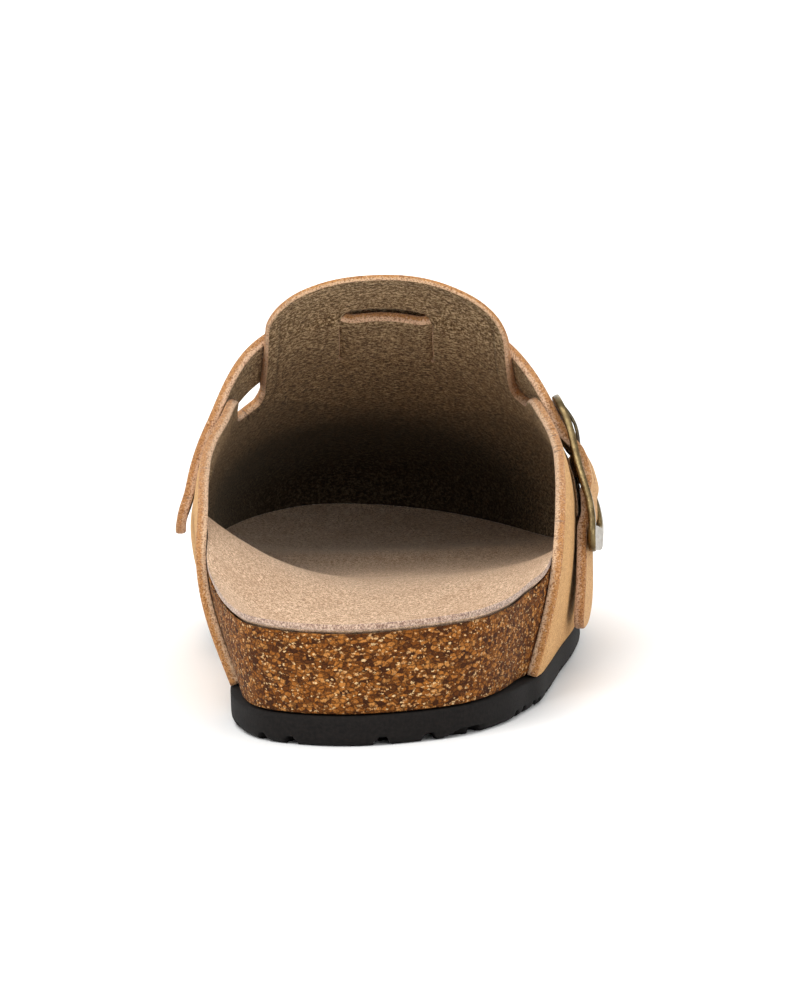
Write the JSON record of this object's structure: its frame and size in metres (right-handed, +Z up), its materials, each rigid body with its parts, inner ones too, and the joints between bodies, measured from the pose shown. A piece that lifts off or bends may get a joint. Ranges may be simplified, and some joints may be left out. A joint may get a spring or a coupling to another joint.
{
  "type": "suede clog",
  "caption": "Right suede clog with a closed toe, high tongue, adjustable buckled strap, contoured cork footbed and thin lugged outsole.",
  "frame": {"origin": "middle of the footprint's bounding rectangle, on the floor", "axes": "+Y from heel to toe, +X to the outer (lateral) side of this right shoe, +Z up"},
  "size_m": [0.1096, 0.2618, 0.0994],
  "materials": {
    "outsole": "matte moulded",
    "cork": "sealed cork granulate, satin",
    "lining": "brushed suede",
    "suede": "brushed suede outside, unlined flesh side inside",
    "strap": "brushed suede",
    "tab": "thin skived leather",
    "bronze": "dark antique bronze plating"
  },
  "bodies": {
    "root": {"outsole": "outsole", "footbed": "cork", "insole": "lining", "upper": "suede", "strap": "strap", "buckle_frame": "bronze", "buckle_prong": "bronze", "buckle_tab": "tab", "strap_rivet": "bronze", "tab_rivet": "bronze"}
  },
  "joints": []
}
